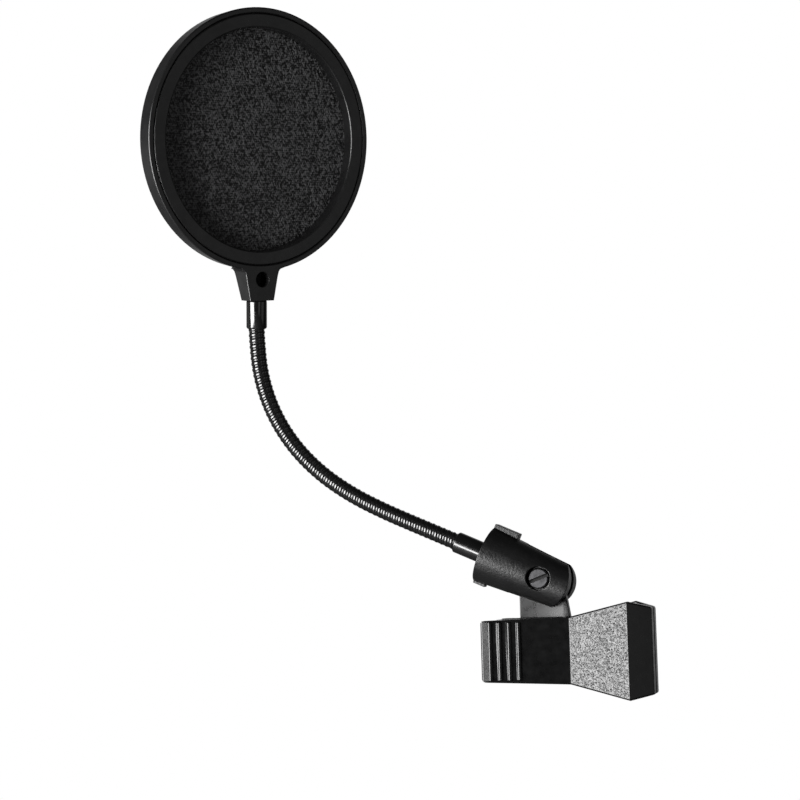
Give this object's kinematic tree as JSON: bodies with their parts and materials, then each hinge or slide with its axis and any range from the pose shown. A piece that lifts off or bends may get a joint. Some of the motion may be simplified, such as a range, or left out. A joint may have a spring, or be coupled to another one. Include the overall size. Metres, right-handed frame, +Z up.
{
  "type": "pop filter",
  "caption": "Round mesh pop filter in a two-part frame on a bendable gooseneck, with a tilting swivel sleeve and a sprung clamp that grips a microphone stand's pole.",
  "frame": {"origin": "axis of the gripped pole, at the middle of the rubber pads' height", "axes": "+Z up along the pole, -X towards the clamp's handles, -Y towards the clamp's outer face and the front of the screen"},
  "size_m": [0.2206, 0.1071, 0.3309],
  "materials": {
    "clamp_plastic": "satin moulded black plastic, leather grain on the jaw panels",
    "sleeve_plastic": "fine matt moulded black plastic",
    "frame_plastic": "smooth satin black plastic",
    "nylon_mesh": "fine knitted black nylon",
    "black_steel": "gloss black plated steel",
    "gooseneck_steel": "gloss black wound steel wire",
    "dark_steel": "dull blackened steel",
    "bright_steel": "plain steel",
    "spring_steel": "drawn spring wire",
    "rubber": "matt black rubber",
    "fibre": "hard fibre"
  },
  "bodies": {
    "clamp": {"rear_jaw": "clamp_plastic", "rear_pad": "rubber", "hinge_pin": "bright_steel", "pin_retainer": "bright_steel", "jaw_spring": "spring_steel"},
    "front_jaw": {"front_jaw": "clamp_plastic", "front_pad": "rubber"},
    "swivel": {"swivel_sleeve": "sleeve_plastic", "tilt_screw": "dark_steel", "tilt_nut": "dark_steel", "friction_washers": "fibre", "lower_ferrule": "black_steel", "ferrule_nut": "dark_steel", "neck_link_1": "gooseneck_steel"},
    "link_2": {"neck_link_2": "gooseneck_steel"},
    "link_3": {"neck_link_3": "gooseneck_steel"},
    "link_4": {"neck_link_4": "gooseneck_steel"},
    "link_5": {"neck_link_5": "gooseneck_steel"},
    "link_6": {"neck_link_6": "gooseneck_steel"},
    "link_7": {"neck_link_7": "gooseneck_steel"},
    "link_8": {"neck_link_8": "gooseneck_steel"},
    "neck_top": {"upper_ferrule": "black_steel"},
    "screen": {"rear_frame": "frame_plastic", "front_ring": "frame_plastic", "front_mesh": "nylon_mesh", "mesh_spacer": "frame_plastic", "rear_mesh": "nylon_mesh"}
  },
  "joints": [
    {"name": "jaw_hinge", "type": "hinge", "parent": "clamp", "child": "front_jaw", "pos_m": [-0.021, 0, 0], "axis": [0, 0, -1], "range_deg": [0, 18], "stiffness_Nm_per_rad": 0.4, "springref_deg": -51.57, "deforming": ["jaw_spring"]},
    {"name": "sleeve_tilt", "type": "hinge", "parent": "clamp", "child": "swivel", "pos_m": [-0.0388, 0.005, 0.0341], "axis": [0, 1, 0], "range_deg": [-23, 110]},
    {"name": "neck_bend_1", "type": "hinge", "parent": "swivel", "child": "link_2", "pos_m": [-0.09772, 0.005, 0.06033], "axis": [0.0832, 0.9789, 0.1868], "range_deg": [-20, 20]},
    {"name": "neck_sway_2", "type": "hinge", "parent": "link_2", "child": "link_3", "pos_m": [-0.11507, 0.00499, 0.06809], "axis": [0.4293, -0.2044, 0.8797], "range_deg": [-20, 20]},
    {"name": "neck_bend_3", "type": "hinge", "parent": "link_3", "child": "link_4", "pos_m": [-0.13188, 0.00473, 0.07694], "axis": [0.0832, 0.9789, 0.1868], "range_deg": [-20, 20]},
    {"name": "neck_sway_4", "type": "hinge", "parent": "link_4", "child": "link_5", "pos_m": [-0.14727, 0.00392, 0.08805], "axis": [0.6592, -0.1946, 0.7263], "range_deg": [-20, 20]},
    {"name": "neck_bend_5", "type": "hinge", "parent": "link_5", "child": "link_6", "pos_m": [-0.16014, 0.00236, 0.10195], "axis": [0.0832, 0.9789, 0.1868], "range_deg": [-20, 20]},
    {"name": "neck_sway_6", "type": "hinge", "parent": "link_6", "child": "link_7", "pos_m": [-0.16936, 0.00001, 0.11839], "axis": [0.9248, -0.1457, 0.3516], "range_deg": [-20, 20]},
    {"name": "neck_bend_7", "type": "hinge", "parent": "link_7", "child": "link_8", "pos_m": [-0.17413, -0.00305, 0.13653], "axis": [0.0832, 0.9789, 0.1868], "range_deg": [-20, 20]},
    {"name": "neck_sway_8", "type": "hinge", "parent": "link_8", "child": "neck_top", "pos_m": [-0.17426, -0.0066, 0.15519], "axis": [0.9957, -0.0738, -0.0565], "range_deg": [-20, 20]},
    {"name": "screen_turn", "type": "hinge", "parent": "neck_top", "child": "screen", "pos_m": [-0.1727, -0.00998, 0.17219], "axis": [0.0894, -0.194, 0.9769], "range_deg": [-90, 90]}
  ]
}
